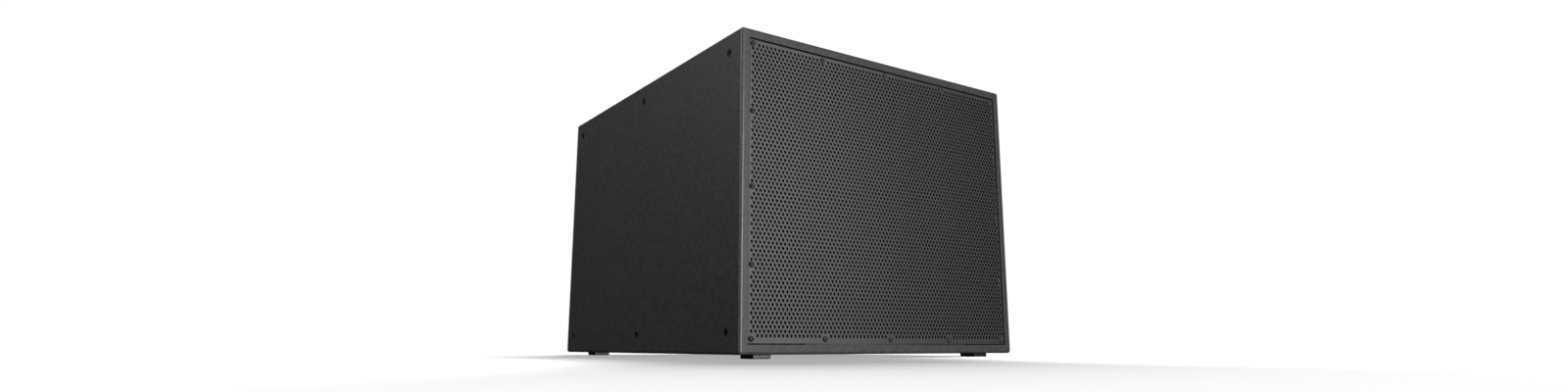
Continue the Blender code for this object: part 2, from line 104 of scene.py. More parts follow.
REARWARD = (-math.pi / 2, 0, 0)  # turns local +Z to +Y
FORWARD = (math.pi / 2, 0, 0)  # turns local +Z to -Y
TO_RIGHT = (0, math.pi / 2, 0)  # turns local +Z to +X
TO_LEFT = (0, -math.pi / 2, 0)  # turns local +Z to -X
UPWARD, DOWNWARD = (0, 0, 0), (math.pi, 0, 0)


# ---- materials ----


MATERIALS = {}  # by name, filled as they are made


class Finish:
    """A Principled material whose colour, roughness and bump come from small procedural patterns."""

    def __init__(self, name, colour, roughness, metallic=0.0, specular=0.5):
        material = MATERIALS[name] = bpy.data.materials.new(name)
        material.use_nodes = True
        self.tree = material.node_tree
        self.shader = self.tree.nodes["Principled BSDF"]
        self.set("Base Color", (*colour, 1))
        self.set("Roughness", roughness)
        self.set("Metallic", metallic)
        self.set("Specular IOR Level", specular)
        self.colour = colour
        self.place = self.tree.nodes.new("ShaderNodeTexCoord").outputs["Object"]
        self.normal = None

    def set(self, name, value):
        """Gives one of the shader's inputs a plain value."""
        self.shader.inputs[name].default_value = value

    def feed(self, source, name):
        """Links a pattern to one of the shader's inputs."""
        self.tree.links.new(source, self.shader.inputs[name])
        return self

    def node(self, kind, inputs, **options):
        """A new node, with each of its inputs given a value or fed by another node's output."""
        made = self.tree.nodes.new(kind)
        for key, value in options.items():
            setattr(made, key, value)
        for key, value in inputs.items():
            if isinstance(value, bpy.types.NodeSocket):
                self.tree.links.new(value, made.inputs[key])
            else:
                made.inputs[key].default_value = value
        return made

    def noise(self, size, detail=3.0, roughness=0.5, stretch=(1, 1, 1)):
        """Cloudy noise whose features are about this many metres across."""
        place = self.node("ShaderNodeMapping", {"Vector": self.place, "Scale": stretch}).outputs["Vector"]
        inputs = {"Vector": place, "Scale": 1 / size, "Detail": detail, "Roughness": roughness}
        return self.node("ShaderNodeTexNoise", inputs).outputs["Fac"]

    def cells(self, size):
        """Round cells about this many metres across: 0 at each middle, rising outwards."""
        inputs = {"Vector": self.place, "Scale": 1 / size}
        return self.node("ShaderNodeTexVoronoi", inputs).outputs["Distance"]

    def waves(self, size, direction, kind="BANDS"):
        """Parallel bands across an axis, or rings about it."""
        options = {"bands_direction" if kind == "BANDS" else "rings_direction": direction}
        inputs = {"Vector": self.place, "Scale": 1 / (size * math.pi)}
        return self.node("ShaderNodeTexWave", inputs, wave_type=kind, **options).outputs["Fac"]

    def ramp(self, source, low, high, low_value, high_value):
        """The pattern between low and high, stretched to run between two other values."""
        limits = {"From Min": low, "From Max": high, "To Min": low_value, "To Max": high_value}
        return self.node("ShaderNodeMapRange", {"Value": source, **limits}).outputs["Result"]

    def tint(self, source, low, high, other, share=1.0):
        """Mixes in another colour, up to this share, as a pattern goes from low to high."""
        base = self.shader.inputs["Base Color"]
        before = base.links[0].from_socket if base.is_linked else (*self.colour, 1)
        inputs = {0: self.ramp(source, low, high, 0.0, share), 6: before, 7: (*other, 1)}
        return self.feed(self.node("ShaderNodeMix", inputs, data_type="RGBA").outputs[2], "Base Color")

    def rough(self, source, low, high):
        """Roughness between two values, following a pattern's middle range."""
        return self.feed(self.ramp(source, 0.3, 0.7, low, high), "Roughness")

    def bump(self, source, height):
        """Relief this many metres high, on top of any that is there already."""
        inputs = {"Distance": height, "Height": source}
        if self.normal:
            inputs["Normal"] = self.normal
        self.normal = self.node("ShaderNodeBump", inputs).outputs["Normal"]
        return self.feed(self.normal, "Normal")


def scaled(colour, factor):
    """The colour, lighter or darker."""
    return tuple(factor * c for c in colour)


def cabinet_paint():
    """Thick textured water-based paint: a close orange peel with painted shade in its hollows, and a cloudy
    mottle.
    """
    grey = (0.036, 0.036, 0.036)
    finish = Finish("cabinet_paint", grey, 0.5, specular=0.4)
    peel, mottle, speck = finish.noise(0.0028, 2, 0.4), finish.noise(0.0085, 3, 0.5), finish.noise(0.0012, 1)
    finish.tint(mottle, 0.38, 0.62, scaled(grey, 1.35))
    # painted shade: the orange peel's hollows, where the relief sinks, are darkened
    finish.tint(peel, 0.50, 0.34, scaled(grey, 0.72), 0.8)
    finish.tint(speck, 0.56, 0.70, scaled(grey, 0.6), 0.6)
    finish.rough(mottle, 0.48, 0.54)
    finish.set("Coat Weight", 0.22)
    finish.set("Coat Roughness", 0.28)
    finish.bump(peel, 0.00026).bump(speck, 0.00005)


def grille_paint():
    """Semi-matt powder coat on steel."""
    grey = (0.045, 0.045, 0.045)
    finish = Finish("grille_paint", grey, 0.42, specular=0.5)
    grain = finish.noise(0.0006, 2)
    finish.tint(finish.noise(0.03, 3), 0.4, 0.7, scaled(grey, 0.88), 0.5)
    finish.rough(grain, 0.38, 0.46).bump(grain, 0.00003)


def foam(name, grey, cell):
    """Open-cell foam: painted shade in the sunken pores, between paler struts."""
    colour = (grey, grey, grey * 1.02)
    finish = Finish(name, colour, 0.95, specular=0.1)
    pores = finish.cells(cell)
    # painted shade: darker where the cells sink, in the pores
    finish.tint(pores, 0.5, 0.9, scaled(colour, 0.5))
    finish.tint(finish.noise(0.012), 0.45, 0.7, scaled(colour, 1.3), 0.4)
    finish.bump(pores, -0.0001)


def black_screw():
    """Blackened steel, a little worn."""
    finish = Finish("black_screw", (0.012, 0.012, 0.013), 0.42, 0.3)
    wear = finish.noise(0.0012)
    finish.tint(wear, 0.62, 0.75, (0.04, 0.04, 0.042), 0.5)
    finish.rough(wear, 0.34, 0.5).bump(finish.noise(0.0004, 2), 0.00003)


def painted_screw():
    """A grille screw's head under the grille's powder coat."""
    grey = (0.060, 0.060, 0.061)
    finish = Finish("painted_screw", grey, 0.5)
    wear = finish.noise(0.0012)
    finish.tint(wear, 0.58, 0.72, scaled(grey, 1.3), 0.6)
    finish.rough(wear, 0.4, 0.52).bump(finish.noise(0.0005, 2), 0.00004)


def foot_rubber():
    """Moulded black rubber with a smooth, slightly glossy skin."""
    finish = Finish("foot_rubber", (0.030, 0.030, 0.030), 0.36, specular=0.55)
    grain = finish.noise(0.0008, 2)
    finish.rough(grain, 0.3, 0.4)
    finish.tint(finish.noise(0.006), 0.5, 0.75, (0.045, 0.045, 0.044), 0.5)
    finish.bump(grain, 0.00003)


def inner_plywood(direction):
    """Birch under a thin black stain: grain on the faces, and plies stacked along one axis at the edges."""
    stained = (0.040, 0.037, 0.034)
    finish = Finish(f"inner_plywood_{direction}", stained, 0.68, specular=0.25)
    plies = finish.waves(0.0030, direction)
    grain = finish.noise(0.004, 4, 0.6, (1, 1, 0.08))
    finish.tint(plies, 0.45, 0.65, (0.075, 0.060, 0.045), 0.6)
    finish.tint(grain, 0.5, 0.7, (0.068, 0.058, 0.046), 0.7)
    finish.rough(grain, 0.6, 0.75).bump(grain, 0.0001)


def cast_aluminium():
    """Black powder coat over a sand-cast skin."""
    finish = Finish("cast_aluminium", (0.030, 0.030, 0.032), 0.5, 0.35)
    skin = finish.noise(0.0012, 3)
    finish.rough(skin, 0.42, 0.6)
    finish.tint(finish.noise(0.008), 0.5, 0.7, (0.045, 0.045, 0.047), 0.6)
    finish.bump(skin, 0.00018)


def cone_paper():
    """Pressed fibre pulp with a light doping."""
    finish = Finish("cone_paper", (0.020, 0.019, 0.018), 0.72, specular=0.3)
    fibres = finish.noise(0.0016, 6, 0.7, (1, 1, 0.3))
    finish.tint(fibres, 0.52, 0.68, (0.045, 0.042, 0.038))
    finish.rough(fibres, 0.6, 0.85).bump(fibres, 0.00025)


def woven(name, colour, thread):
    """Impregnated cloth: two sets of threads crossing, with painted light on their raised crowns and painted
    shade in the gaps between them.
    """
    roughness = 0.8
    finish = Finish(name, colour, roughness, specular=0.25)
    threads = {0: finish.waves(thread, "X"), 1: finish.waves(thread, "Z")}
    weave = finish.node("ShaderNodeMath", threads, operation="MULTIPLY").outputs[0]
    # painted light and shade: the threads' raised crowns lighter, the sunken gaps between them darker
    finish.tint(weave, 0.1, 0.9, scaled(colour, 1.7))
    finish.rough(finish.noise(0.005), roughness - 0.1, roughness + 0.1).bump(weave, 0.00015)


def coil_former():
    """Amber resin on glass cloth."""
    finish = Finish("coil_former", (0.30, 0.15, 0.035), 0.4)
    weave = finish.waves(0.0005, "Z")
    finish.tint(finish.noise(0.003), 0.45, 0.7, (0.22, 0.10, 0.02))
    finish.rough(finish.noise(0.004), 0.32, 0.48).bump(weave, 0.00005)


def coil_winding():
    """Copper wire wound in one close layer."""
    finish = Finish("coil_winding", (0.50, 0.21, 0.09), 0.32, 0.9)
    turns = finish.waves(0.0004, "Z")
    finish.tint(turns, 0.5, 0.9, (0.20, 0.07, 0.03))
    finish.rough(finish.noise(0.004), 0.26, 0.4).bump(turns, 0.0001)


def plated_steel():
    """Zinc-plated steel with the lathe's fine rings."""
    finish = Finish("plated_steel", (0.46, 0.45, 0.42), 0.34, 1.0)
    rings = finish.waves(0.0007, "Z", "RINGS")
    finish.tint(finish.noise(0.02), 0.45, 0.75, (0.52, 0.50, 0.40))
    finish.rough(finish.noise(0.001, 2), 0.26, 0.42)
    finish.bump(rings, 0.00002).bump(finish.noise(0.0006, 2), 0.00002)


def ferrite():
    """Fired ceramic magnet, dull and slightly chipped."""
    finish = Finish("ferrite", (0.045, 0.045, 0.048), 0.62, specular=0.4)
    grain = finish.noise(0.0015)
    finish.tint(grain, 0.55, 0.75, (0.075, 0.073, 0.075))
    finish.rough(grain, 0.5, 0.75).bump(grain, 0.0001)


def moulded(name, colour, roughness):
    """Glass-filled nylon or a like moulding, with a fine grain."""
    finish = Finish(name, colour, roughness)
    grain = finish.noise(0.0007, 2)
    finish.tint(finish.noise(0.01), 0.5, 0.75, scaled(colour, 1.5), 0.5)
    finish.rough(grain, roughness - 0.06, roughness + 0.08).bump(grain, 0.00005)


cabinet_paint()
grille_paint()
foam("foam", 0.32, 0.0008)
foam("gasket", 0.02, 0.0008)
foam("damping_foam", 0.09, 0.0016)
black_screw()
painted_screw()
foot_rubber()
inner_plywood("X")
inner_plywood("Y")
cast_aluminium()
cone_paper()
woven("surround_cloth", (0.022, 0.022, 0.024), 0.0007)
woven("spider_cloth", (0.36, 0.22, 0.08), 0.0009)
coil_former()
coil_winding()
plated_steel()
ferrite()
moulded("dish_paint", (0.020, 0.020, 0.021), 0.45)
moulded("socket_plastic", (0.020, 0.023, 0.032), 0.36)
moulded("strip_plastic", (0.015, 0.015, 0.015), 0.32)
moulded("lead_jacket", (0.022, 0.022, 0.022), 0.5)


# ---- making pieces ----


def in_scene(name, data):
    """A new object with this data, linked to the scene."""
    obj = bpy.data.objects.new(name, data)
    bpy.context.scene.collection.objects.link(obj)
    return obj


def piece(name, mesh, slot, where=(0, 0, 0), turn=(0, 0, 0), body="root", node=None, finish=None):
    """A piece of the visual model, on a body, in place of a CAD node if it stands for one."""
    obj = in_scene(name, mesh)
    obj.location, obj.rotation_euler = where, turn
    if not mesh.materials:
        mesh.materials.append(MATERIALS[finish or slot])
    if body:
        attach(obj, body)
    if node:
        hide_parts(node)
    return obj


def middle(node):
    """The middle of a CAD node's box."""
    low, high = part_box(node)
    return (low + high) / 2


def smoothed(mesh, sharp):
    """The mesh, shaded smooth except at edges over this many degrees."""
    mesh.shade_smooth()
    mesh.set_sharp_from_angle(angle=math.radians(sharp))
    return mesh


def finished(bm, name, sharp=40):
    """The bmesh as a mesh, with its normals outwards."""
    bmesh.ops.recalc_face_normals(bm, faces=bm.faces)
    mesh = bpy.data.meshes.new(name)
    bm.to_mesh(mesh)
    bm.free()
    return smoothed(mesh, sharp)


def evaluated(obj, sharp, helpers=()):
    """The mesh that an object shows. The object and its helpers are removed."""
    bpy.context.view_layer.update()
    mesh = bpy.data.meshes.new_from_object(obj.evaluated_get(bpy.context.evaluated_depsgraph_get()))
    for used in (obj, *helpers):
        bpy.data.objects.remove(used, do_unlink=True)
    return smoothed(mesh, sharp)


def extruded(bm, faces):
    """Doubles the faces with walls between, and gives the new vertices, still to be moved."""
    raised = bmesh.ops.extrude_face_region(bm, geom=faces)["geom"]
    return [v for v in raised if isinstance(v, bmesh.types.BMVert)]


def band(inner, outer, near, far):
    """The outline of a plain ring, for turning."""
    return [(inner, near), (outer, near), (outer, far), (inner, far)]


def turned(name, outline, sides=32, sharp=40):
    """A body turned about local Z from (radius, height) points. A radius may be a function of the angle."""
    bm = bmesh.new()
    angles = [math.tau * i / sides for i in range(sides)]
    rings = []
    for radius, height in outline:
        if radius == 0:
            rings.append([bm.verts.new((0, 0, height))])
            continue
        ring = []
        for a in angles:
            reach = radius(a) if callable(radius) else radius
            ring.append(bm.verts.new((reach * math.cos(a), reach * math.sin(a), height)))
        rings.append(ring)
    pairs = list(zip(rings, rings[1:]))
    if len(rings[0]) > 1:
        pairs.append((rings[-1], rings[0]))
    for low, high in pairs:
        for i in range(sides):
            j = i + 1
            corners = [low[i % len(low)], high[i % len(high)], high[j % len(high)], low[j % len(low)]]
            bm.faces.new(list(dict.fromkeys(corners)))
    return finished(bm, name, sharp)


def hexagon(across_flats):
    """The reach of a hexagon at an angle, for a turned outline with a multiple of 6 sides."""
    sixth = math.pi / 3
    return lambda angle: across_flats / 2 / math.cos(angle % sixth - sixth / 2)


def cross(arm, root):
    """The reach of a cross-shaped recess at an angle, its arms along the axes."""
    quarter = math.pi / 2
    return lambda angle: arm if min(angle % quarter, -angle % quarter) < math.radians(12) else root


def eased(outline, reach, steps=3):
    """The closed outline with its corners rounded, except on the axis."""
    points = []
    for i, corner in enumerate(outline):
        if corner[0] == 0:
            points.append(corner)
            continue
        here = Vector(corner)
        before, after = Vector(outline[i - 1]) - here, Vector(outline[(i + 1) % len(outline)]) - here
        length = min(reach, before.length / 3, after.length / 3)
        start, end = here + length * before.normalized(), here + length * after.normalized()
        for t in np.linspace(0, 1, steps + 1):
            points.append(tuple((1 - t) ** 2 * start + 2 * t * (1 - t) * here + t**2 * end))
    return points


def arc(centre, radius, start, end, steps):
    """Outline points on an arc, in degrees, both ends included."""
    angles = [math.radians(start + (end - start) * i / steps) for i in range(steps + 1)]
    return [(centre[0] + radius * math.cos(a), centre[1] + radius * math.sin(a)) for a in angles]


def rounded_rectangle(half_x, half_z, radius, steps=6):
    """(x, z) points round a rectangle about the origin."""
    x, z = half_x - radius, half_z - radius
    corners = [(x, z, 0), (-x, z, 90), (-x, -z, 180), (x, -z, 270)]
    return [point for *centre, start in corners for point in arc(centre, radius, start, start + 90, steps)]


def thread(radius, start, end, pitch=0.001):
    """Outline points of a threaded shank between two heights."""
    crest = 0.3 * pitch
    points, count = [], max(2, round(abs(end - start) / pitch))
    for i in range(count):
        height = start + (end - start) * i / count
        points += [(radius - crest, height), (radius, height + (end - start) / count / 2)]
    return [*points, (radius - crest, end)]


def bevel(bm, edges, width, segments):
    """Rounds the edges."""
    bmesh.ops.bevel(bm, geom=edges, offset=width, segments=segments, profile=0.5, affect="EDGES")


def block(size, centre=(0, 0, 0), rounded=0.0, segments=3, chosen=lambda a, b: True):
    """A box, with the chosen edges rounded."""
    bm = bmesh.new()
    made = bmesh.ops.create_cube(bm, size=1)["verts"]
    bmesh.ops.scale(bm, vec=size, verts=made)
    bmesh.ops.translate(bm, vec=centre, verts=made)
    if rounded:
        edges = [e for e in bm.edges if chosen(*(v.co for v in e.verts))]
        bevel(bm, edges, rounded, segments)
    return bm


def between(low, high, **options):
    """A box between two corners."""
    low, high = Vector(low), Vector(high)
    return block(high - low, (low + high) / 2, **options)


def carved(bm, name, cutters, operation="DIFFERENCE", sharp=40):
    """bm's shape without the cutters' shapes (or only what they share), as a finished mesh."""
    obj = in_scene(name, finished(bm, name))
    helpers = [in_scene("cutter", finished(cutter, "cutter")) for cutter in cutters]
    for helper in helpers:
        modifier = obj.modifiers.new("carve", "BOOLEAN")
        modifier.operation, modifier.solver, modifier.object = operation, "EXACT", helper
    shape = evaluated(obj, sharp, helpers)
    shape.name = name
    shape.materials.clear()
    return shape


def evenly_shaded(obj):
    """Keeps large flat faces from taking their shading from the roundings beside them."""
    modifier = obj.modifiers.new("even_shading", "WEIGHTED_NORMAL")
    modifier.keep_sharp = True
    return obj


def rod(places, radius, low, high, turn, sides=32):
    """Cylinders about local Z from low to high, each turned and moved to its place."""
    bm = bmesh.new()
    size = {"segments": sides, "radius1": radius, "radius2": radius, "depth": high - low}
    rotation = Matrix.Rotation(turn[0], 3, "X") @ Matrix.Rotation(turn[1], 3, "Y")
    for where in places:
        made = bmesh.ops.create_cone(bm, cap_ends=True, **size)["verts"]
        bmesh.ops.translate(bm, vec=(0, 0, (low + high) / 2), verts=made)
        bmesh.ops.rotate(bm, matrix=rotation, verts=made)
        bmesh.ops.translate(bm, vec=where, verts=made)
    return bm


# ---- the box ----


def plug_places(side):
    """Where the plugs sit in a side panel, in the order of their numbers."""
    return [tuple(middle(f"{side}_plug_{number}").yz) for number in range(1, 7)]


def shell():
    """The box without its rear panel: open at both ends, outer edges rounded, the mouths' edges eased."""
    outer = between((LEFT, FRONT, BOTTOM), (RIGHT, REAR, TOP), rounded=EDGE_RADIUS, segments=6)
    inner = between((-MOUTH_X, 2 * FRONT, MIDDLE - MOUTH_Z), (MOUTH_X, 2 * REAR, MIDDLE + MOUTH_Z))
    mesh = carved(outer, "shell", [inner])
    bm = bmesh.new()
    bm.from_mesh(mesh)

    def on_mouth(v):
        inside = abs(v.co.x) < MOUTH_X + AIR and abs(v.co.z - MIDDLE) < MOUTH_Z + AIR
        return inside and abs(abs(v.co.y) - REAR) < AIR

    edges = [e for e in bm.edges if all(map(on_mouth, e.verts)) and len(e.link_faces) == 2]
    bevel(bm, edges, MOUTH_EDGE, 3)
    return bm


def box_panels():
    """Four panels cut from one shell, so that the paint runs over their joints unbroken."""
    whole, panels = shell(), []
    far = 1.0
    regions = {
        "left": ((-far, -far, -far), (-MOUTH_X, far, far)),
        "right": ((MOUTH_X, -far, -far), (far, far, far)),
        "top": ((-MOUTH_X, -far, MIDDLE), (MOUTH_X, far, far)),
        "bottom": ((-MOUTH_X, -far, -far), (MOUTH_X, far, MIDDLE)),
    }
    for name, (low, high) in regions.items():
        mesh = carved(whole.copy(), f"painted_{name}_panel", [between(low, high)], "INTERSECT")
        node = f"{name}_panel"
        if name in ("left", "right"):
            side = -1 if name == "left" else 1
            node = f"{name}_side_panel"
            places = [(side * RIGHT, y, z) for y, z in plug_places(name)]
            turn = TO_RIGHT if side < 0 else TO_LEFT
            drilled = bmesh.new()
            drilled.from_mesh(mesh)
            mesh = carved(drilled, mesh.name, [rod(places, PLUG_HOLE_RADIUS, -0.002, PLUG_HOLE_DEPTH, turn)])
        panels.append(evenly_shaded(piece(mesh.name, mesh, "cabinet_paint", node=node)))
    whole.free()
    return panels


def rear_panel():
    """The rear panel, rebated and cut out for the dish, with its sunk screws."""
    low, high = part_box("rear_panel")
    grow = Vector((GAP - AIR, 0, GAP - AIR))
    low, high = low - grow, high + grow
    dish_low, dish_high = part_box("input_dish")
    room, rebate_depth, cup_corner, ease = 2 * GAP, 0.0023, 0.010, 0.0006
    upright = {"segments": 5, "chosen": lambda a, b: abs(a.y - b.y) > PANEL}
    rebate = between(
        (dish_low.x - room, REAR - rebate_depth, dish_low.z - room),
        (dish_high.x + room, 2 * REAR, dish_high.z + room),
        rounded=FLANGE_CORNER,
        **upright,
    )
    inset = DISH_FLANGE - room
    cup_low = (dish_low.x + inset, 0, dish_low.z + inset)
    cup_high = (dish_high.x - inset, 2 * REAR, dish_high.z - inset)
    hole = between(cup_low, cup_high, rounded=cup_corner, **upright)
    panel = between(low, high, rounded=ease, segments=2, chosen=lambda a, b: min(a.y, b.y) > high.y - AIR)
    places = [(x, REAR, z) for x, z in rear_screw_places()]
    sinks = rod(places, 0.0052, -0.0022, 0.001, REARWARD, 24)
    mesh = carved(panel, "painted_rear_panel", [rebate, hole, sinks])
    evenly_shaded(piece(mesh.name, mesh, "cabinet_paint", node="rear_panel"))
    screw = countersunk("rear_panel_screw", 0.0048, 0.0020)
    for number, (x, y, z) in enumerate(places, 1):
        name = f"rear_panel_screw_{number:02d}"
        place_turned(name, screw, "black_screw", (x, y - 0.0001, z), REARWARD, 53 * number)


def rear_screw_places():
    """(x, z) of the wood screws round the rear panel's edge."""
    inset = 0.014
    shares = [(x, z) for z in (-1, 1) for x in (-1, -0.5, 0, 0.5, 1)]
    shares += [(x, z) for x in (-1, 1) for z in (-0.36, 0.36)]
    return [(x * (MOUTH_X - inset), MIDDLE + z * (MOUTH_Z - inset)) for x, z in shares]


def countersunk(name, radius, depth):
    """A countersunk screw's head with a cross recess, its face at z = 0 and looking along +Z."""
    arm = 0.62 * radius
    outline = [
        (0, -0.70 * depth), (cross(0.45 * arm, 0.2 * arm), -0.62 * depth),
        (cross(arm, 0.3 * arm), 0), (radius - 0.0003, 0), (radius, -0.0003),
        (0.5 * radius, -depth), (0, -depth),
    ]
    return turned(name, outline, 48)


# ---- the grille ----


def grille_screw_places():
    """(x, z) of each grille screw, in the order of their numbers."""
    return [tuple(middle(f"grille_screw_{number:02d}").xz) for number in range(1, 17)]


def hole_places():
    """(x, z) of every hole of the staggered pattern, except where a screw needs solid metal."""
    places = []
    for row in range(ROWS):
        count = SHORT_ROW if row % 2 == 0 else LONG_ROW
        z = BOTTOM + LOWEST_ROW + ROW_PITCH * row
        places += [((i - (count - 1) / 2) * HOLE_PITCH, z) for i in range(count)]
    places = np.array(places)
    screws = np.array(grille_screw_places())
    nearest = np.linalg.norm(places[:, None] - screws[None], axis=2).min(axis=1)
    return places[nearest > SCREW_CLEAR]


def circle_points(centres, radius, sides):
    angles = np.arange(sides) * math.tau / sides + math.pi / 2
    ring = radius * np.stack([np.cos(angles), np.sin(angles)], axis=1)
    return (np.asarray(centres)[:, None] + ring[None]).reshape(-1, 2)


def perforated_grille():
    """A flat sheet with holes: both faces triangulated around the holes, and the holes' walls between."""
    holes, screws = hole_places(), grille_screw_places()
    corner, screw_hole, screw_sides = 0.0015, 0.0029, 16
    low, high = GRILLE_LOW, GRILLE_HIGH
    rim = rounded_rectangle(high.x, (high.z - low.z) / 2, corner, 4) + np.array([0, (high.z + low.z) / 2])
    bores = [circle_points(screws, screw_hole, screw_sides), circle_points(holes, HOLE_RADIUS, HOLE_SIDES)]
    points = np.concatenate([rim, *bores])
    # The points run loop after loop: the rim, the screw holes, then the pattern.
    sides = np.array([len(rim)] + [screw_sides] * len(screws) + [HOLE_SIDES] * len(holes))
    count, starts = len(points), np.cumsum(sides) - sides
    loop = np.repeat(np.arange(len(sides)), sides)
    following = np.arange(count) + 1
    following[starts + sides - 1] = starts
    edges = np.stack([np.arange(count), following], axis=1)
    flat = geometry.delaunay_2d_cdt([Vector(p) for p in points], edges.tolist(), [], 1, 1e-7, False)
    faces = np.array(flat[2])
    in_rim = loop[faces[:, 0]] == 0
    faces = faces[in_rim | (loop[faces] != loop[faces[:, :1]]).any(axis=1)]
    # The front face looks along -Y: anticlockwise in (x, z) seen from the front.
    a, b, c = (points[faces[:, i]] for i in range(3))
    turn = (b - a)[:, 0] * (c - a)[:, 1] - (b - a)[:, 1] * (c - a)[:, 0]
    faces[turn < 0] = faces[turn < 0][:, ::-1]
    edges = np.where((loop == 0)[:, None], edges, edges[:, ::-1])
    walls = [(a, a + count, b + count, b) for a, b in edges]
    verts = np.empty((2 * count, 3))
    verts[:, 0], verts[:, 2] = np.tile(points[:, 0], 2), np.tile(points[:, 1], 2)
    verts[:count, 1], verts[count:, 1] = low.y, high.y
    mesh = bpy.data.meshes.new("perforated_grille")
    mesh.from_pydata(verts.tolist(), [], faces.tolist() + (faces[:, ::-1] + count).tolist() + walls)
    mesh.update()
    piece("perforated_grille", smoothed(mesh, 50), "grille_paint", node="grille")


def foam_slab(node, name, slot, columns, rows, front, sharp):
    """A slab that fills a CAD node's box, but for a front face set back by front(x, z)."""
    low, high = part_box(node)
    bm = bmesh.new()
    for v in bmesh.ops.create_grid(bm, x_segments=columns, y_segments=rows, size=0.5)["verts"]:
        x, z = v.co.x * (high.x - low.x), v.co.y * (high.z - low.z)
        v.co = (x, low.y + front(x, z), z + (low.z + high.z) / 2)
    for v in extruded(bm, bm.faces[:]):
        v.co.y = high.y
    return piece(name, finished(bm, name, sharp), slot, node=node)


def grille_foam():
    """The foam sheet behind the grille, with a slightly uneven front."""
    set_back, unevenness, cell = 0.0007, 0.0002, 0.009

    def front(x, z):
        return set_back + unevenness * noise.noise(Vector((x, z, 0)) / cell)

    foam_slab("grille_foam", "foam_sheet", "foam", 90, 76, front, 60)


def grille_screws():
    """Button heads with a hexagon socket, from the face under the head."""
    head, rise, socket, depth = 0.0048, 0.0022, 0.0030, 0.0014
    dome = [(head * math.cos(a), -0.0004 - (rise - 0.0004) * math.sin(a)) for a in np.linspace(0, 1.15, 6)]
    outline = [
        (0, depth - rise + 0.0004), (hexagon(socket), depth - rise),
        (hexagon(socket), -rise + 0.0001), (lambda a: hexagon(socket)(a) + 0.00015, -rise),
        (0.0021, -rise), *reversed(dome), (head, -0.0001), (head - 0.0001, 0), (0.0024, 0),
        *thread(0.0025, 0.002, 0.0185), (0, 0.0190),
    ]
    mesh = turned("hex_screw", outline, 24)
    for number, (x, z) in enumerate(grille_screw_places(), 1):
        node = f"grille_screw_{number:02d}"
        name, where = f"hex_screw_{number:02d}", (x, GRILLE_LOW.y - GAP, z)
        options = {"node": node, "finish": "painted_screw"}
        place_turned(name, mesh, "black_screw", where, REARWARD, 47 * number, **options)


def place_turned(name, mesh, slot, where, turn, angle, **options):
    """Places a turned piece with its own angle about its axis, so that no two fixings sit alike."""
    obj = piece(name, mesh, slot, where, turn, **options)
    obj.matrix_world = obj.matrix_world @ Matrix.Rotation(math.radians(angle), 4, "Z")
    return obj


def suspension_plugs():
    """Flat plug screws with a hexagon socket, sunk a little into the side panels."""
    radius, socket, depth = 0.0060, 0.0050, 0.0035
    outline = [
        (0, depth + 0.0008), (hexagon(socket), depth), (hexagon(socket), 0.0004),
        (lambda a: hexagon(socket)(a) + 0.0004, 0), (radius - 0.0005, 0), (radius, 0.0005),
        (radius, 0.0026), *thread(0.0049, 0.0034, 0.0118, 0.0015), (0, 0.0120),
    ]
    mesh = turned("suspension_plug", outline, 36)
    for side, sign, turn in (("left", -1, TO_RIGHT), ("right", 1, TO_LEFT)):
        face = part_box(f"{side}_plug_1")[0 if sign < 0 else 1].x
        for number, (y, z) in enumerate(plug_places(side), 1):
            name, node = f"suspension_plug_{side}_{number}", f"{side}_plug_{number}"
            place_turned(name, mesh, "black_screw", (face, y, z), turn, 31 * number, node=node)


def grille_rest():
    """A thin felt strip on the bottom panel that takes the grille's weight and stops it buzzing."""
    half, floor = 0.177, MIDDLE - MOUTH_Z
    bm = between(
        (-half, GRILLE_LOW.y + 0.0004, floor + AIR),
        (half, GRILLE_HIGH.y, GRILLE_LOW.z - 0.0002),
        rounded=0.0003,
        segments=2,
    )
    piece("grille_rest_strip", finished(bm, "grille_rest_strip"), "grille_paint")


# ---- feet ----


def feet():
    """Low moulded feet with rounded corners, a rounded sole and a sunk screw."""
    low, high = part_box("foot_front_left")
    size = high - low
    bm = block(size, (0, 0, size.z / 2))
    upright = [e for e in bm.edges if abs(e.verts[0].co.z - e.verts[1].co.z) > size.z / 2]
    bevel(bm, upright, 0.0025, 5)
    sole = [e for e in bm.edges if all(v.co.z < AIR for v in e.verts)]
    bevel(bm, sole, 0.0015, 4)
    well = rod([(0, 0, 0)], 0.0055, -0.001, 0.0035, UPWARD, 32)
    mesh = carved(bm, "moulded_foot", [well])
    head = turned(
        "foot_screw",
        [
            (0, 0.0022), (0.0012, 0.0022), (0.0022, 0.0010), (0.0034, 0.0010), (0.0048, 0.0030),
            (0.0048, 0.0034), (0.0020, 0.0034), (0.0020, 0.0050), (0, 0.0050),
        ],
        24,
    )
    for where in ("front_left", "front_right", "rear_left", "rear_right"):
        node = f"foot_{where}"
        centre = (*middle(node).xy, low.z)
        evenly_shaded(piece(f"moulded_foot_{where}", mesh, "foot_rubber", centre, node=node))
        piece(f"foot_screw_{where}", head, "black_screw", centre)


# ---- the inputs ----


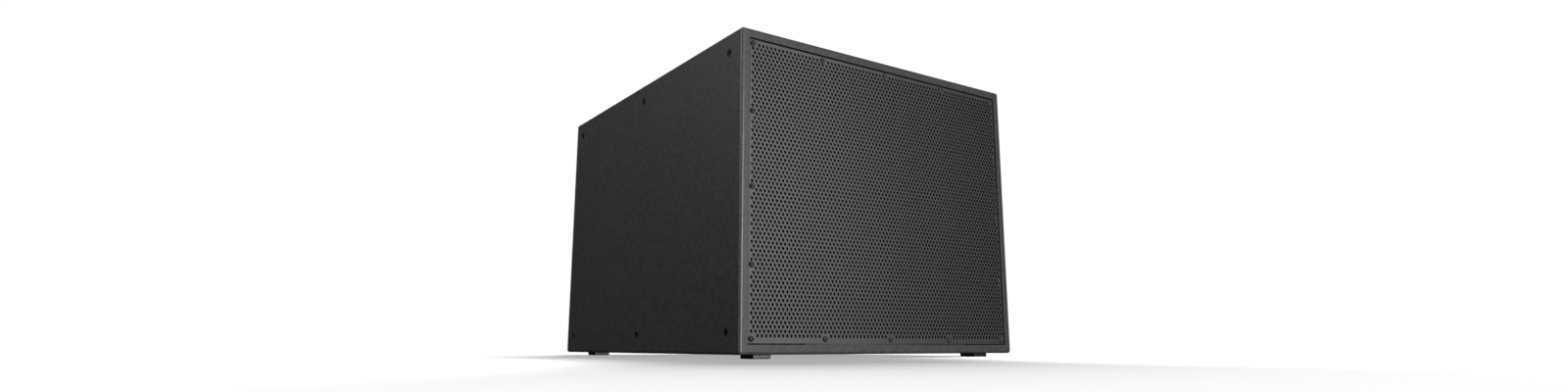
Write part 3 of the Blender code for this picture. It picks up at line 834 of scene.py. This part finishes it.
def input_dish():
    """A pressed dish: flat floor, rolled mouth, flange with six sunk screws. Gives the floor's y."""
    low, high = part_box("input_dish")
    centre_x, _, centre_z = middle("input_dish")
    sheet, inside, corner, ease = 0.002, 0.0025, 0.0055, 0.0005
    outside = inside + sheet  # fillet radii at the floor
    quarter = [math.radians(a) for a in (0, 22.5, 45, 67.5, 90)]
    # Each ring: how far it stands out from the flat of the floor, and its y.
    rings = [(inside * math.sin(a), low.y + sheet + inside * (1 - math.cos(a))) for a in quarter]
    rings += [(outside - sheet * math.cos(a), high.y - sheet * (1 - math.sin(a))) for a in quarter]
    reach = outside + DISH_FLANGE
    rings += [(reach - ease, high.y), (reach, high.y - ease), (reach, high.y - sheet)]
    rings += [(outside * math.cos(a), low.y + outside * (1 - math.sin(a))) for a in quarter]
    flat_x, flat_z = (high.x - low.x) / 2 - reach, (high.z - low.z) / 2 - reach
    bm, loops = bmesh.new(), []
    for out, y in rings:
        radius = corner + out if out <= outside + AIR else FLANGE_CORNER + out - reach
        points = rounded_rectangle(flat_x + out, flat_z + out, radius)
        loops.append([bm.verts.new((centre_x + x, y, centre_z + z)) for x, z in points])
    for a, b in zip(loops, loops[1:]):
        for i in range(len(a)):
            j = (i + 1) % len(a)
            bm.faces.new((a[i], a[j], b[j], b[i]))
    bm.faces.new(loops[0])
    bm.faces.new(reversed(loops[-1]))
    bmesh.ops.recalc_face_normals(bm, faces=bm.faces)
    centres = [middle(node) for node in ("socket_left", "socket_right")]
    holes = rod([(c.x, low.y, c.z) for c in centres], SOCKET_HOLE, -0.01, 0.01, REARWARD, 48)
    x, z = flat_x + reach - DISH_FLANGE / 2, flat_z + reach - DISH_FLANGE / 2
    places = [(centre_x + i * x, high.y, centre_z + k * z) for i in (-1, 0, 1) for k in (-1, 1)]
    sinks = rod(places, 0.0033, -0.0015, 0.001, REARWARD, 24)
    mesh = carved(bm, "pressed_dish", [holes, sinks], sharp=35)
    evenly_shaded(piece(mesh.name, mesh, "dish_paint", node="input_dish"))
    screw = countersunk("dish_screw", 0.0031, 0.0013)
    for number, (x, y, z) in enumerate(places, 1):
        place_turned(f"dish_screw_{number}", screw, "black_screw", (x, y - 0.0001, z), REARWARD, 37 * number)
    return low.y + sheet


def sockets(floor):
    """Two round locking sockets: a keyed bore, four contacts round a pillar, a latch and two screws."""
    flange, body, bore, pillar, rim, reach, wall = 0.0155, 0.0122, 0.0104, 0.0045, 0.0032, 0.018, 0.002

    def keyed(angle):
        third = math.tau / 3
        return bore + (0.0009 if min(angle % third, -angle % third) < math.radians(8) else 0)

    def grooved(angle):
        quarter = math.pi / 2
        return pillar - (0.0008 if abs(angle % quarter - quarter / 2) < math.radians(14) else 0)

    outline = [
        (0, rim - wall), (0.0036, rim - wall), (grooved, rim - wall - 0.0008),
        (grooved, wall - reach), (keyed, wall - reach), (keyed, rim - 0.0006),
        (bore + 0.0013, rim), (flange - 0.0006, rim), (flange, rim - 0.0006), (flange, GAP),
        (body, GAP), (body, -reach), (0, -reach),
    ]
    shape = turned("locking_socket", outline, 90)
    contacts = bmesh.new()
    for number in range(4):
        made = bmesh.ops.create_cube(contacts, size=1)["verts"]
        bmesh.ops.scale(contacts, vec=(0.0007, 0.0020, 0.0130), verts=made)
        bmesh.ops.translate(contacts, vec=(pillar + 0.0001, 0, rim - wall - 0.0095), verts=made)
        turn = Matrix.Rotation(math.radians(45 + 90 * number), 3, "Z")
        bmesh.ops.rotate(contacts, matrix=turn, verts=made)
    blades = finished(contacts, "socket_contacts")
    screw = countersunk("socket_screw", 0.0016, 0.0006)
    latch = block((0.0046, 0.0030, 0.0008), (0, 0.0134, rim + 0.0004), rounded=0.0003, segments=2)
    tab = finished(latch, "socket_latch")
    for side in ("left", "right"):
        centre = middle(f"socket_{side}")
        where = Vector((centre.x, floor, centre.z))
        piece(f"locking_socket_{side}", shape, "socket_plastic", where, REARWARD, node=f"socket_{side}")
        piece(f"socket_contacts_{side}", blades, "plated_steel", where, REARWARD)
        piece(f"socket_latch_{side}", tab, "plated_steel", where, REARWARD)
        for name, sign in (("upper", 1), ("lower", -1)):
            place = where + Vector((sign * 0.0095, rim + 0.0005, sign * 0.0095))
            name = f"socket_screw_{side}_{name}"
            place_turned(name, screw, "plated_steel", place, REARWARD, 29 * sign)


def terminal_strip():
    """Four ways between barriers, each with two clamp plates and their screws."""
    low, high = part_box("terminal_strip")
    pitch, ways, barrier, depth = 0.011, 4, 0.0016, 0.005
    centre = middle("terminal_strip")
    bm = between(low, high, rounded=0.0006, segments=2)
    centres = [centre.x + (way - (ways - 1) / 2) * pitch for way in range(ways)]
    half = (pitch - barrier) / 2
    cutters = [between((x - half, high.y - depth, 0), (x + half, 2 * REAR, 1)) for x in centres]
    mesh = carved(bm, "barrier_strip", cutters)
    piece(mesh.name, mesh, "strip_plastic", node="terminal_strip")
    flat = block((0.0078, 0.0092, 0.0008), (0, 0, 0.0005), rounded=0.0003, segments=2)
    plate = finished(flat, "clamp_plate")
    head, rise, recess, ease = 0.0030, 0.0025, 0.0009, 0.0004
    arm = 0.7 * head
    outline = [(0, rise - recess), (cross(0.9 * arm, 0.25 * arm), rise - recess)]
    outline += [(cross(arm, 0.3 * arm), rise), (head - ease, rise), (head, rise - ease), (head, 0), (0, 0)]
    screw = turned("clamp_screw", outline, 48)
    for way, x in enumerate(centres, 1):
        for row, z in (("upper", 0.0062), ("lower", -0.0062)):
            where = Vector((x, high.y - depth, centre.z + z))
            piece(f"clamp_plate_{way}_{row}", plate, "plated_steel", where, REARWARD)
            top = where + Vector((0, 0.0010, 0))
            place_turned(f"clamp_screw_{way}_{row}", screw, "plated_steel", top, REARWARD, 67 * way)


# ---- the driver ----

BAFFLE_LOW, BAFFLE_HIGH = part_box("baffle")
DRIVER_PLACE = (0, BAFFLE_HIGH.y, MIDDLE)  # on its axis, at the baffle's back face
CUTOUT_RADIUS = 0.208
FLANGE_FRONT = 0.0036  # depths are measured behind the baffle's back face
COIL_INNER, COIL_OUTER = 0.0495, 0.0510
CONE_NECK, CONE_LIP, CONE_OUTER, CONE_DEPTH = 0.0513, 0.174, 0.1815, 0.083
CONE_SHEET = 0.002
CAP_RADIUS, CAP_RISE = 0.070, 0.020
ROLL_MIDDLE, ROLL_RADIUS = 0.192, 0.011
BASKET_END = 0.1265


def driver_piece(name, node, outline, slot, body="root", finish=None):
    """A piece of the driver, turned about its axis. Heights are depths behind the baffle."""
    piece(name, turned(name, outline, 96), slot, DRIVER_PLACE, REARWARD, body, node, finish)


def boards():
    """The inner boards: the baffle with a round cut-out, and the others as they are."""
    low, high = BAFFLE_LOW, BAFFLE_HIGH
    hole = rod([(0, low.y, MIDDLE)], CUTOUT_RADIUS, -1, 1, REARWARD, 128)
    mesh = carved(between(low, high, rounded=0.0004, segments=1), "cut_baffle", [hole])
    mesh.materials.append(MATERIALS["inner_plywood_Y"])
    piece(mesh.name, mesh, "inner_plywood", node="baffle")
    across = {"Y": ("grille_batten_frame", "window_brace"), "X": ("left_port_board", "right_port_board")}
    for axis, nodes in across.items():
        for node in nodes:
            for slot in frame["nodes"][node].material_slots:
                slot.material = MATERIALS[f"inner_plywood_{axis}"]


def basket():
    """A cast basket with six windows, held by eight bolts from behind."""
    outline = [
        (0.203, FLANGE_FRONT), (0.231, FLANGE_FRONT), (0.231, 0.0116), (0.214, 0.0116),
        (0.199, 0.045), (0.128, 0.100), (0.114, 0.118), (0.114, BASKET_END), (0.062, BASKET_END),
        (0.062, 0.121), (0.091, 0.119), (0.091, 0.1005), (0.105, 0.1005), (0.122, 0.093),
        (0.193, 0.040), (0.2, 0.020),
    ]
    bm = bmesh.new()
    bm.from_mesh(turned("cast_basket", eased(outline, 0.003), 96))
    windows, half_angle, inner, outer, start, length = 6, math.radians(21), 0.116, 0.26, 0.022, 0.068
    cutters = []
    for number in range(windows):
        centre = math.tau * number / windows
        cutter, corners = bmesh.new(), []
        for radius, way in ((inner, 1), (outer, 1), (outer, -1), (inner, -1)):
            angle = centre + way * half_angle
            corners.append(cutter.verts.new((radius * math.cos(angle), radius * math.sin(angle), start)))
        top = extruded(cutter, [cutter.faces.new(corners)])
        bmesh.ops.translate(cutter, vec=(0, 0, length), verts=top)
        upright = [e for e in cutter.edges if abs(e.verts[0].co.z - e.verts[1].co.z) > length / 2]
        bevel(cutter, upright, 0.008, 4)
        cutters.append(cutter)
    mesh = carved(bm, "cast_basket", cutters, sharp=35)
    piece(mesh.name, mesh, "cast_aluminium", DRIVER_PLACE, REARWARD, node="basket")
    bolts, circle, socket, rise = 8, 0.2225, 0.0040, 0.0050
    outline = [
        (0, rise - 0.0030), (hexagon(socket), rise - 0.0026), (hexagon(socket), rise),
        (0.0041, rise), (0.0045, rise - 0.0004), (0.0045, 0), (0, 0),
    ]
    bolt = turned("driver_bolt", outline, 36)
    for number in range(bolts):
        angle = math.tau * (number + 0.5) / bolts
        where = (circle * math.cos(angle), BAFFLE_HIGH.y + 0.0116 + AIR, MIDDLE + circle * math.sin(angle))
        place_turned(f"driver_bolt_{number + 1}", bolt, "black_screw", where, REARWARD, 41 * number)


def motor():
    """Gasket, front plate, ring magnet, and back plate with its vented pole, corners eased."""
    gasket = band(0.213, 0.230, 0.0003, 0.0033)
    driver_piece("foam_gasket", "basket_gasket", eased(gasket, 0.0008), "gasket")
    plate_front = BASKET_END + GAP
    plate_back = plate_front + 0.012
    plate = band(0.0535, 0.100, plate_front, plate_back)
    driver_piece("turned_front_plate", "front_plate", eased(plate, 0.001), "plated_steel")
    magnet_front = plate_back + GAP
    magnet_back = magnet_front + 0.040
    ring = band(0.062, 0.110, magnet_front, magnet_back)
    driver_piece("ring_magnet", "magnet", eased(ring, 0.003), "ferrite")
    vent, pole, rim = 0.015, 0.047, 0.105
    near = magnet_back + GAP
    far = near + 0.014
    outline = [(vent, plate_front), (pole, plate_front), (pole, near), (rim, near), (rim, far), (vent, far)]
    driver_piece("vented_back_plate", "back_plate", eased(outline, 0.0015), "plated_steel")


def cone_depth(radius):
    """Depth of the cone's front surface, which flares a little towards its rim."""
    share = (radius - CONE_NECK) / (CONE_LIP - CONE_NECK)
    return CONE_DEPTH - (CONE_DEPTH - FLANGE_FRONT) * (0.85 * share + 0.15 * share**2)


def cone():
    """The cone, pressed with shallow rings, and its dust cap."""
    rings, swing = 5, 0.0005

    def pressed(radius):
        share = (radius - CONE_NECK) / (CONE_LIP - CONE_NECK)
        return cone_depth(radius) + swing * (1 - math.cos(math.tau * rings * share)) / 2

    radii = np.linspace(CONE_NECK, CONE_LIP, 12 * rings + 1)
    front = [(r, pressed(r)) for r in radii] + [(CONE_OUTER, FLANGE_FRONT)]
    back = [(r, d + CONE_SHEET - swing) for r, d in reversed(front)]
    driver_piece("pressed_cone", "cone", front + back, "cone_paper", "cone_assembly")

    def cap_depth(radius):
        return cone_depth(CAP_RADIUS) - 0.0022 - CAP_RISE * (1 - (radius / CAP_RADIUS) ** 2)

    radii = [CAP_RADIUS * i / 20 for i in range(21)]
    dome = [(r, cap_depth(r)) for r in radii]
    inside = [(r, d + 0.0015) for r, d in reversed(dome)]
    driver_piece("domed_dust_cap", "dust_cap", dome + inside, "cone_paper", "cone_assembly")


def voice_coil():
    """A thin former with the winding round its rear end."""
    tube, front, back, winding = 0.0005, CONE_DEPTH - 0.003, 0.146, 0.112
    former = band(COIL_INNER, COIL_INNER + tube, front, back)
    driver_piece("coil_tube", "voice_coil", former, "coil_former", "cone_assembly")
    copper = band(COIL_INNER + tube + 0.00003, COIL_OUTER, winding, back)
    wire = eased(copper, 0.0002)
    driver_piece("coil_winding", None, wire, "coil_former", "cone_assembly", "coil_winding")


def flexing(name, node, outline, slot):
    """A ring of cloth that follows the cone up to one radius and the basket from another."""
    mesh = turned(name, outline, 120, 60)
    obj = piece(name, mesh, slot, DRIVER_PLACE, REARWARD, None, node=node)
    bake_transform(obj)


def suspension():
    """The half-roll surround and the corrugated spider."""
    sheet = 0.0012
    lip = FLANGE_FRONT - GAP - sheet
    back = lip + sheet

    def roll(radius, depth):
        return [(ROLL_MIDDLE - r, depth - d) for r, d in arc((0, 0), radius, 0, 180, 24)]

    outline = [(0.1755, lip), *roll(ROLL_RADIUS, lip), (0.212, lip)]
    outline += [(0.212, back), *reversed(roll(ROLL_RADIUS - sheet, back)), (0.1755, back)]
    flexing("rolled_surround", "surround", outline, "surround_cloth")
    depth, outer, waves, swing, cloth = 0.0955, 0.100, 5, 0.0019, 0.0009
    radii = np.linspace(CONE_NECK, outer, 12 * waves + 1)
    phases = np.linspace(0, math.tau * waves, 12 * waves + 1)
    front = [(r, depth - swing * math.sin(phase)) for r, phase in zip(radii, phases)]
    behind = [(r, d + cloth) for r, d in reversed(front)]
    flexing("corrugated_spider", "spider", front + behind, "spider_cloth")


# ---- inside the box ----


def driver_lead():
    """The twin lead from the dish to the driver, resting on the brace's window sill half way."""
    low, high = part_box("input_dish")
    inner_face, dish_z = low.y, (low.z + high.z) / 2
    route = [
        (0.030, inner_face - 0.001, dish_z + 0.030),
        (0.030, inner_face - 0.030, dish_z + 0.022),
        (0.035, inner_face - 0.055, BOTTOM + 0.110),
        (0.046, 0.205, BOTTOM + 0.078),
        (0.056, 0.140, BOTTOM + 0.071),
        (0.061, 0.082, BOTTOM + 0.079),
        (0.060, 0.053, BOTTOM + 0.079),
        (0.050, 0.000, BOTTOM + 0.066),
        (0.030, -0.080, BOTTOM + 0.054),
        (0.010, -0.150, BOTTOM + 0.057),
        (0.001, -0.195, BOTTOM + 0.080),
        (0.000, -0.212, BOTTOM + 0.098),
    ]
    curve = bpy.data.curves.new("driver_lead", "CURVE")
    curve.dimensions = "3D"
    points = smooth_route([Vector(p) for p in route], 12)
    spline = curve.splines.new("POLY")
    spline.points.add(len(points) - 1)
    for target, point in zip(spline.points, points):
        target.co = (*point, 1)
    curve.bevel_depth, curve.bevel_resolution, curve.use_fill_caps = 0.0032, 6, True
    mesh = evaluated(in_scene("lead_guide", curve), 60)
    piece("jacketed_lead", mesh, "lead_jacket", node="driver_lead")
    ring = [(0.0034, -0.0030), (0.0062, -0.0030), (0.0068, -0.0004), (0.0034, -0.0004)]
    grommet = turned("lead_grommet", eased(ring, 0.0008), 32)
    piece("lead_grommet", grommet, "lead_jacket", (0.030, inner_face, dish_z + 0.030), REARWARD)


def smooth_route(points, per_span):
    """A Catmull-Rom curve through the points, read at per_span places in each span."""
    padded = [2 * points[0] - points[1], *points, 2 * points[-1] - points[-2]]
    curve = []
    for a, b, c, d in zip(padded, padded[1:], padded[2:], padded[3:]):
        for step in range(per_span):
            t = step / per_span
            bend = (2 * a - 5 * b + 4 * c - d) * t**2 + (3 * b - a - 3 * c + d) * t**3
            curve.append(0.5 * (2 * b + (c - a) * t + bend))
    return [*curve, points[-1]]


def rear_damping_foam():
    """Convoluted foam: rows of peaks and hollows towards the driver, flat at the back."""
    pitch, swing = 0.0433, 0.006

    def front(x, z):
        return swing * (1 + math.cos(math.tau * x / pitch) * math.cos(math.tau * z / pitch))

    slab = foam_slab("rear_damping_foam", "convoluted_foam", "damping_foam", 144, 60, front, 50)


# ---- studio ----

CAMERA_PLACE = (-0.9237, -1.3649, 0.0202)
CAMERA_PITCH, CAMERA_YAW = math.radians(10.61), math.radians(-34.89)
LENS_MM = 18.33
SKY_AZIMUTH, SKY_ELEVATION, SKY_SPREAD = 144, 39, 36  # degrees
SKY_STRENGTH, FLOOR_GLOW = 3.5, 0.40


def camera():
    data = bpy.data.cameras.new("camera")
    data.lens, data.sensor_width = LENS_MM, 36
    data.clip_start = 0.01
    obj = in_scene("camera", data)
    obj.location = CAMERA_PLACE
    obj.rotation_euler = (math.pi / 2 + CAMERA_PITCH, 0, CAMERA_YAW)
    bpy.context.scene.camera = obj


def aimed(data, where, aim):
    """A light at one place that shines towards another."""
    obj = in_scene(data.name, data)
    obj.location = where
    obj.rotation_euler = (Vector(aim) - Vector(where)).to_track_quat("-Z", "Y").to_euler()
    return obj


def bearing(azimuth, elevation):
    """The direction at an azimuth, in degrees from the front towards the right, and an elevation."""
    turn, rise = math.radians(azimuth), math.radians(elevation)
    return Vector((math.sin(turn) * math.cos(rise), -math.cos(turn) * math.cos(rise), math.sin(rise)))


def softbox(name, azimuth, elevation, distance, size, power):
    """A rectangular light aimed at the middle of the box."""
    data = bpy.data.lights.new(name, "AREA")
    data.shape, data.size, data.size_y = "RECTANGLE", *size
    data.energy = power
    centre = Vector((0, 0, MIDDLE))
    return aimed(data, centre + distance * bearing(azimuth, elevation), centre)


def link_light(light, objects, state):
    """Lights only these objects (INCLUDE), or all but these (EXCLUDE)."""
    group = bpy.data.collections.new(f"{light.name}_{state.lower()}")
    for obj in objects:
        group.objects.link(obj)
    light.light_linking.receiver_collection = group
    for entry in group.collection_objects:
        entry.light_linking.link_state = state


def sky():
    """One broad soft light from above and behind, which whitens the floor and draws the shadow forward."""
    data = bpy.data.lights.new("sky", "SUN")
    data.energy, data.angle = SKY_STRENGTH, math.radians(SKY_SPREAD)
    aimed(data, 5 * bearing(SKY_AZIMUTH, SKY_ELEVATION), (0, 0, 0)).visible_glossy = False


def floor_fill(name, x, y, ground):
    """Keeps the shadow from spreading past the box's sides: a soft pool of light on the floor alone."""
    data = bpy.data.lights.new(name, "SPOT")
    data.energy, data.shadow_soft_size = 130, 0.15
    data.spot_size, data.spot_blend = math.radians(58), 0.6
    link_light(aimed(data, (x, y, 1.2), (x, y - 0.001, 0)), [ground], "INCLUDE")


def floor():
    bm = bmesh.new()
    bmesh.ops.create_grid(bm, x_segments=1, y_segments=1, size=60)
    finish = Finish("studio_floor", (0.86, 0.86, 0.86), 0.9, specular=0.0)
    finish.set("Emission Color", (1, 1, 1, 1))
    finish.set("Emission Strength", FLOOR_GLOW)
    mesh = finished(bm, "studio_floor")
    mesh.materials.append(MATERIALS["studio_floor"])
    obj = in_scene("studio_floor", mesh)
    obj.visible_glossy = obj.visible_diffuse = obj.visible_shadow = False
    return obj


def world():
    """White where the camera looks past the object, dimmer as a light."""
    made = bpy.data.worlds.new("studio")
    bpy.context.scene.world = made
    made.use_nodes = True
    tree = made.node_tree
    tree.nodes.clear()
    output = tree.nodes.new("ShaderNodeOutputWorld")
    mix = tree.nodes.new("ShaderNodeMixShader")
    path = tree.nodes.new("ShaderNodeLightPath")
    for number, strength in ((1, 0.02), (2, 1.0)):
        background = tree.nodes.new("ShaderNodeBackground")
        background.inputs["Color"].default_value = (1, 1, 1, 1)
        background.inputs["Strength"].default_value = strength
        tree.links.new(background.outputs[0], mix.inputs[number])
    tree.links.new(path.outputs["Is Camera Ray"], mix.inputs[0])
    tree.links.new(mix.outputs[0], output.inputs["Surface"])


def studio(panels):
    ground = floor()
    world()
    sky()
    link_light(softbox("key", 22, 7, 3.0, (0.4, 2.2), 49), [ground, *panels], "EXCLUDE")
    link_light(softbox("side_fill", -98, 31, 2.2, (1.2, 1.2), 25), [ground], "EXCLUDE")
    link_light(softbox("front_strip", -4, 3, 2.8, (0.4, 1.2), 92), panels, "INCLUDE")
    floor_fill("floor_fill_left", -1.14, -0.20, ground)
    floor_fill("floor_fill_right", 0.56, -0.74, ground)
    bpy.context.scene.view_settings.view_transform = "Standard"


camera()
painted = box_panels()
rear_panel()
perforated_grille()
grille_foam()
grille_screws()
suspension_plugs()
grille_rest()
feet()
sockets(input_dish())
terminal_strip()
boards()
basket()
motor()
cone()
voice_coil()
suspension()
driver_lead()
rear_damping_foam()
studio(painted)
